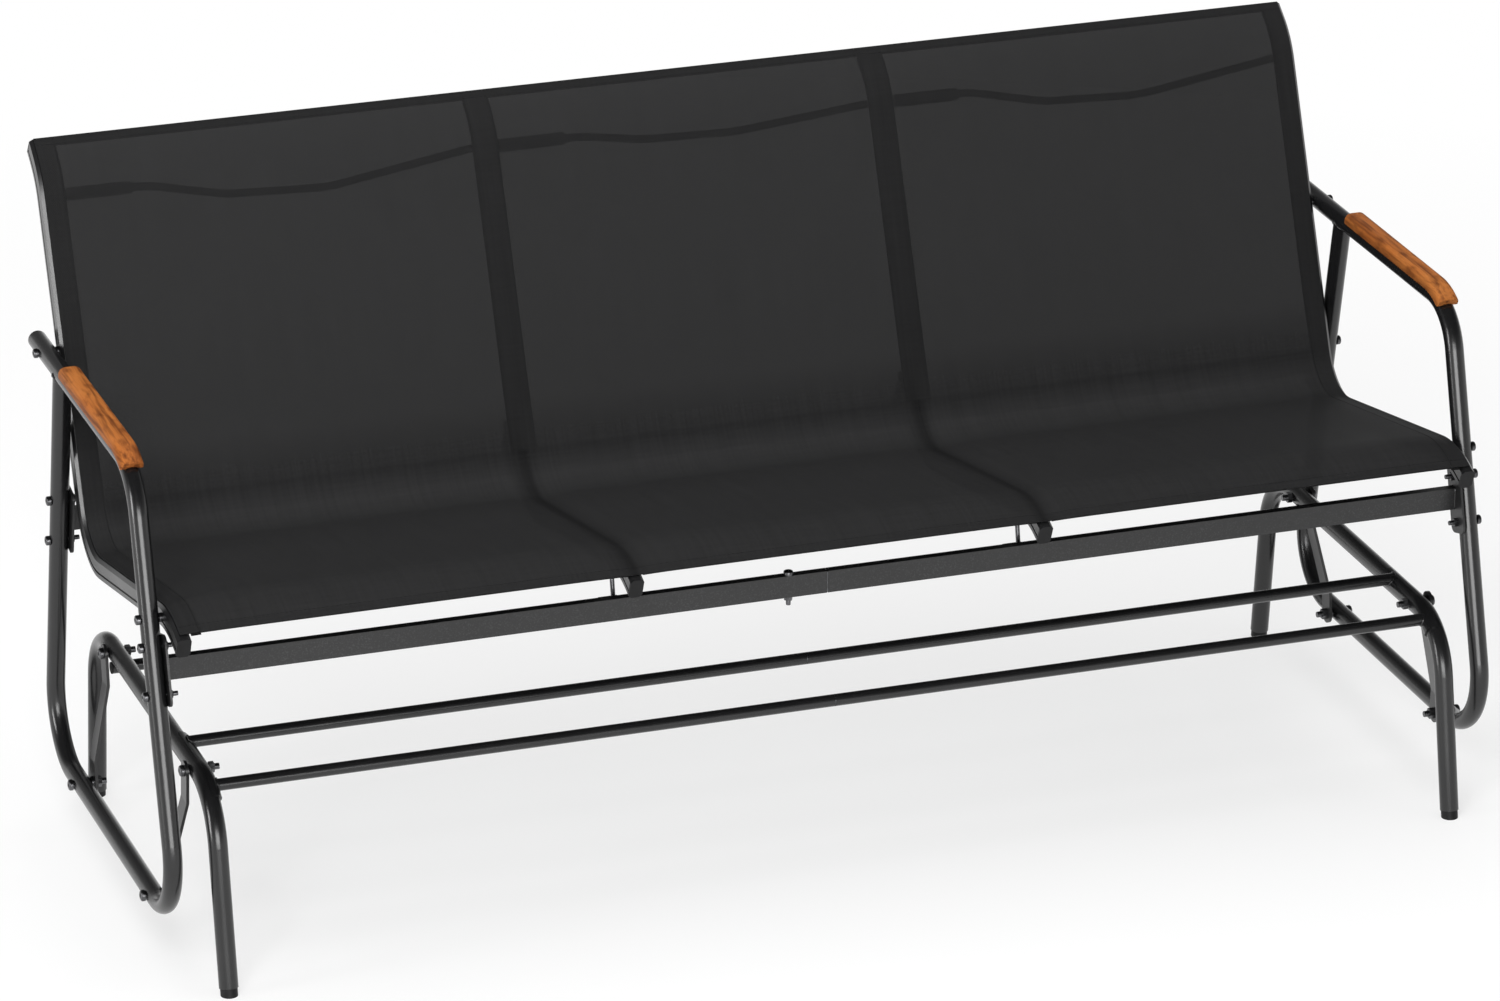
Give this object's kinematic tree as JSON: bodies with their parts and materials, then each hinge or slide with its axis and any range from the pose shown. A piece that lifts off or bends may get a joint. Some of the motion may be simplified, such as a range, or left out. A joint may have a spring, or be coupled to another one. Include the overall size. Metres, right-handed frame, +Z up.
{
  "type": "glider bench",
  "caption": "Steel-tube glider bench for a porch or patio, with a mesh sling seat and back, wooden armrest pads, and a seat frame that swings on links hung from a fixed base.",
  "frame": {"origin": "on the floor, under the middle of the bench's overall box", "axes": "+X along the bench to the right as seen from the front, +Y to the rear, +Z up; the sitter faces -Y"},
  "size_m": [1.833, 0.7712, 0.909],
  "materials": {
    "charcoal_coat": "fine-textured charcoal powder coat",
    "link_coat": "charcoal powder coat on flat bar",
    "black_zinc": "dark zinc plating",
    "bare_steel": "bare drawn steel, hidden inside the tubes",
    "black_plastic": "moulded black plastic",
    "oiled_wood": "oiled orange-brown hardwood",
    "mesh_sling": "coated woven mesh, hemmed at the edges"
  },
  "bodies": {
    "base": {"base_arch_left": "charcoal_coat", "base_arch_right": "charcoal_coat", "foot_caps": "black_plastic", "saddle_left": "charcoal_coat", "saddle_right": "charcoal_coat", "fore_stretcher_left": "charcoal_coat", "fore_stretcher_right": "charcoal_coat", "mid_stretcher_left": "charcoal_coat", "mid_stretcher_right": "charcoal_coat", "rear_stretcher_left": "charcoal_coat", "rear_stretcher_right": "charcoal_coat", "rear_stretcher_plugs": "black_plastic", "stretcher_sleeves": "bare_steel", "upper_pivot_bolts": "black_zinc", "upper_pivot_nuts": "black_zinc", "upper_pivot_washers": "black_zinc"},
    "link_front_left": {"link_front_left": "link_coat"},
    "link_front_right": {"link_front_right": "link_coat"},
    "link_rear_left": {"link_rear_left": "link_coat"},
    "link_rear_right": {"link_rear_right": "link_coat"},
    "seat": {"side_frame_left": "charcoal_coat", "side_frame_right": "charcoal_coat", "armrest_plugs": "black_plastic", "armrest_pad_left": "oiled_wood", "armrest_pad_right": "oiled_wood", "lower_pivot_bolts": "black_zinc", "lower_pivot_nuts": "black_zinc", "lower_pivot_washers": "black_zinc", "front_beam_left": "charcoal_coat", "front_beam_right": "charcoal_coat", "rear_beam_left": "charcoal_coat", "rear_beam_right": "charcoal_coat", "beam_sleeves": "bare_steel", "splice_bolt": "black_zinc", "splice_nut": "black_zinc", "front_beam_plate_left": "charcoal_coat", "front_beam_plate_right": "charcoal_coat", "rear_beam_plate_left": "charcoal_coat", "rear_beam_plate_right": "charcoal_coat", "frame_bolts": "black_zinc", "frame_nuts": "black_zinc", "rail_spacers": "black_zinc", "sling_rail_left": "charcoal_coat", "sling_rail_middle_left": "charcoal_coat", "sling_rail_middle_right": "charcoal_coat", "sling_rail_right": "charcoal_coat", "rail_end_caps": "black_plastic", "sling": "mesh_sling", "spreader_bar_left": "charcoal_coat", "spreader_bar_middle": "charcoal_coat", "spreader_bar_right": "charcoal_coat", "spreader_sleeves": "charcoal_coat", "hanger_tabs": "charcoal_coat", "hanger_bolts": "black_zinc", "hanger_nuts": "black_zinc", "rail_brackets": "charcoal_coat", "bracket_bolts": "black_zinc"}
  },
  "joints": [
    {"name": "front_left_link_swing", "type": "hinge", "parent": "base", "child": "link_front_left", "pos_m": [-0.86, -0.24613, 0.26], "axis": [1, 0, 0], "range_deg": [-12, 12]},
    {"name": "seat_swing", "type": "hinge", "parent": "link_front_left", "child": "seat", "pos_m": [-0.882, -0.22813, 0.086], "axis": [1, 0, 0], "range_deg": [-13.5, 13.5]},
    {"name": "front_right_link_swing", "type": "hinge", "parent": "base", "child": "link_front_right", "pos_m": [0.86, -0.24613, 0.26], "axis": [1, 0, 0], "range_deg": [-12.5, 12.5]},
    {"name": "rear_left_link_swing", "type": "hinge", "parent": "base", "child": "link_rear_left", "pos_m": [-0.86, 0.15787, 0.26], "axis": [1, 0, 0], "range_deg": [-12.5, 12.5]},
    {"name": "rear_right_link_swing", "type": "hinge", "parent": "base", "child": "link_rear_right", "pos_m": [0.86, 0.15787, 0.26], "axis": [1, 0, 0], "range_deg": [-12.5, 12.5]}
  ],
  "couplings": [
    {"joint": "seat_swing", "follows": "front_left_link_swing", "ratio": -1.0978},
    {"joint": "front_right_link_swing", "follows": "front_left_link_swing", "ratio": 1},
    {"joint": "rear_left_link_swing", "follows": "front_left_link_swing", "ratio": 1},
    {"joint": "rear_right_link_swing", "follows": "front_left_link_swing", "ratio": 1}
  ]
}
